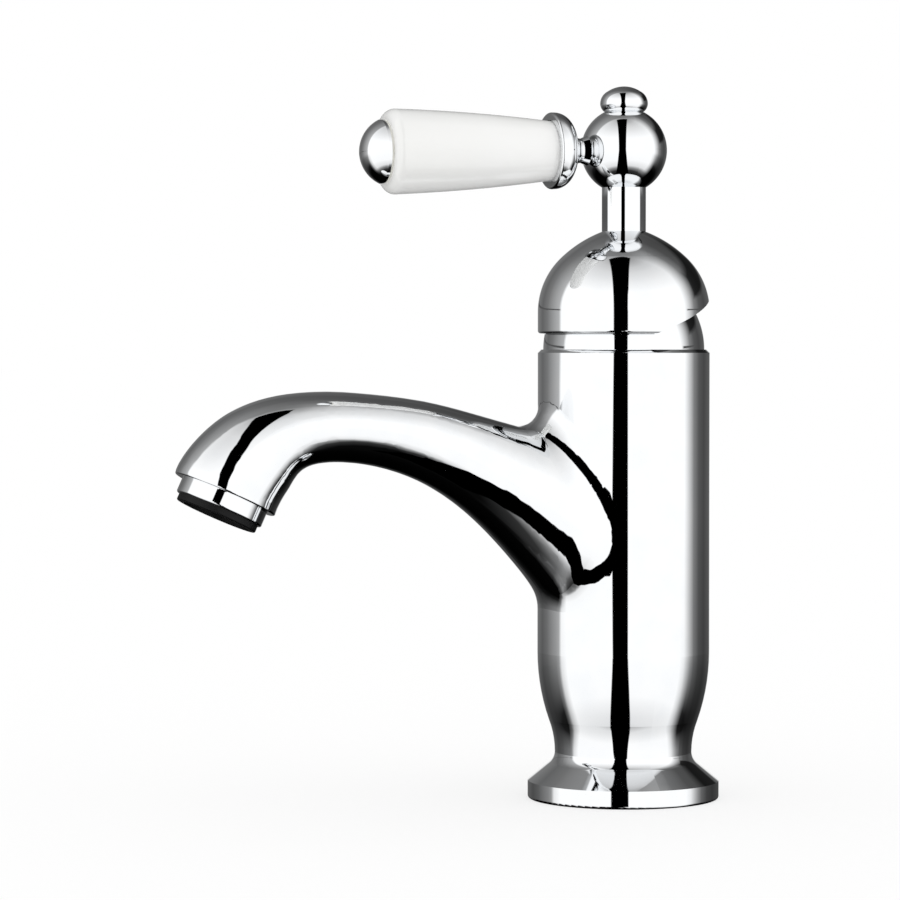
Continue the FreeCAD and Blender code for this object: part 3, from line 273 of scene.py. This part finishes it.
# grain and waves are the sizes of the two patterns in millimetres, the relief is how deep the
# waves are, and the roughness goes from the colour's to the shade's
finishes = {
    # polished cast brass under bright chrome: a mirror, with long soft waves from the polishing
    # wheel
    "chrome": {
        "name": "brightChromePlate", "colour": "#F5F6F7", "shade": "#F1F3F5", "metallic": 1.0,
        "grain": 7, "roughness": (0.012, 0.04), "waves": 26, "relief": 0.02},
    # slip-cast porcelain in a clear glaze: white, glassy, with a faint ripple where the glaze ran
    "porcelain": {
        "name": "glazedPorcelain", "colour": "#FCFCFB", "shade": "#F7F7F5", "coat": 0.6,
        "grain": 18, "stretch": (1, 0.5, 1), "roughness": (0.1, 0.2), "waves": 9,
        "relief": 0.008},
    # moulded black acetal: satin, with the fine grain of a spark-eroded mould, drawn at 0.6 mm so
    # that it shows
    "aerator_plastic": {
        "name": "mouldedAcetal", "colour": "#09090A", "shade": "#131314", "specular": 0.2,
        "grain": 0.6, "roughness": (0.34, 0.5), "waves": 0.6, "relief": 0.012},
    # turned brass: yellow, with the tool's rings round the axis, drawn at 0.5 mm
    "brass": {
        "name": "turnedBrass", "colour": "#D2AE62", "shade": "#A9853F", "metallic": 1.0,
        "grain": 6, "stretch": (1, 1, 12), "roughness": (0.18, 0.34), "waves": 6,
        "relief": 0.01},
    # turned stainless steel: grey, brighter on the tops of the tool's rings, drawn at 0.4 mm
    "steel": {
        "name": "turnedStainless", "colour": "#C4C5C7", "shade": "#96989B", "metallic": 1.0,
        "grain": 4, "stretch": (1, 10, 1), "roughness": (0.2, 0.36), "waves": 4,
        "relief": 0.008},
    # moulded nitrile rubber: matt black, dusty grey on its grain, drawn at 0.5 mm
    "rubber": {
        "name": "mouldedNitrile", "colour": "#17171A", "shade": "#2B2B2D",
        "grain": 0.5, "roughness": (0.6, 0.82), "waves": 0.5, "relief": 0.02},
    # moulded natural acetal: milky off-white, satin
    "cartridge_plastic": {
        "name": "naturalAcetal", "colour": "#D9DAD5", "shade": "#C9CAC5",
        "grain": 5, "roughness": (0.34, 0.46), "waves": 0.8, "relief": 0.008},
    # moulded glass-filled nylon: slate grey, with pale flecks of glass at the surface, drawn at
    # 0.7 mm
    "carrier_plastic": {
        "name": "glassFilledNylon", "colour": "#39424E", "shade": "#4C5561",
        "grain": 0.7, "stretch": (1, 4, 1), "roughness": (0.42, 0.6), "waves": 0.7,
        "relief": 0.014},
    # lapped alumina: ivory, nearly flat, with a faint speckle of sintered grains, drawn at 0.4 mm
    "disc_ceramic": {
        "name": "lappedAlumina", "colour": "#EFECE2", "shade": "#E1DDD0", "coat": 0.3,
        "grain": 0.4, "roughness": (0.12, 0.24), "waves": 0.4, "relief": 0.002},
    # moulded nylon washers: waxy white
    "washer_nylon": {
        "name": "mouldedNylon", "colour": "#EAE9E2", "shade": "#DCDBD3",
        "grain": 3, "roughness": (0.36, 0.5), "waves": 0.7, "relief": 0.006},
}


def makeFinish(look):
    material, tree = newMaterial(look["name"])
    place = addNode(tree, "ShaderNodeTexCoord")
    spread = addNode(
        tree, "ShaderNodeMapping", {"Scale": look["stretch"]}, {"Vector": place.outputs["Object"]})
    grain = addNode(
        tree, "ShaderNodeTexNoise",
        {"Scale": 1000 / look["grain"], "Detail": look["grainDetail"]},
        {"Vector": spread.outputs[0]})
    lowest, highest = look["grainRange"]
    evened = addNode(
        tree, "ShaderNodeMapRange", {"From Min": lowest, "From Max": highest},
        {"Value": grain.outputs[0]})
    tone = addNode(
        tree, "ShaderNodeMix",
        {"data_type": "RGBA", mixA: hexColour(look["colour"]), mixB: hexColour(look["shade"])},
        {mixShare: evened.outputs["Result"]})
    smoothest, roughest = look["roughness"]
    dullness = addNode(
        tree, "ShaderNodeMapRange", {"To Min": smoothest, "To Max": roughest},
        {"Value": evened.outputs["Result"]})
    waves = addNode(
        tree, "ShaderNodeTexNoise",
        {"Scale": 1000 / look["waves"], "Detail": look["wavesDetail"]},
        {"Vector": spread.outputs[0]})
    relief = addNode(
        tree, "ShaderNodeBump", {"Strength": 1.0, "Distance": look["relief"] / 1000},
        {"Height": waves.outputs[0]})
    surface = addNode(
        tree, "ShaderNodeBsdfPrincipled",
        {"Metallic": look["metallic"], "Specular IOR Level": look["specular"],
         "Coat Weight": look["coat"], "Coat Roughness": look["coatRoughness"]},
        {"Base Color": tone.outputs[mixed], "Roughness": dullness.outputs["Result"],
         "Normal": relief.outputs[0]})
    addNode(tree, "ShaderNodeOutputMaterial", links={"Surface": surface.outputs[0]})
    return material


print("finishes")
materials = {slot: makeFinish(usualFinish | look) for slot, look in finishes.items()}
for part in frame["record"]["subparts"]:
    for holder in frame["nodes"][part["node"]].material_slots:
        holder.material = materials[part["material_slot"]]
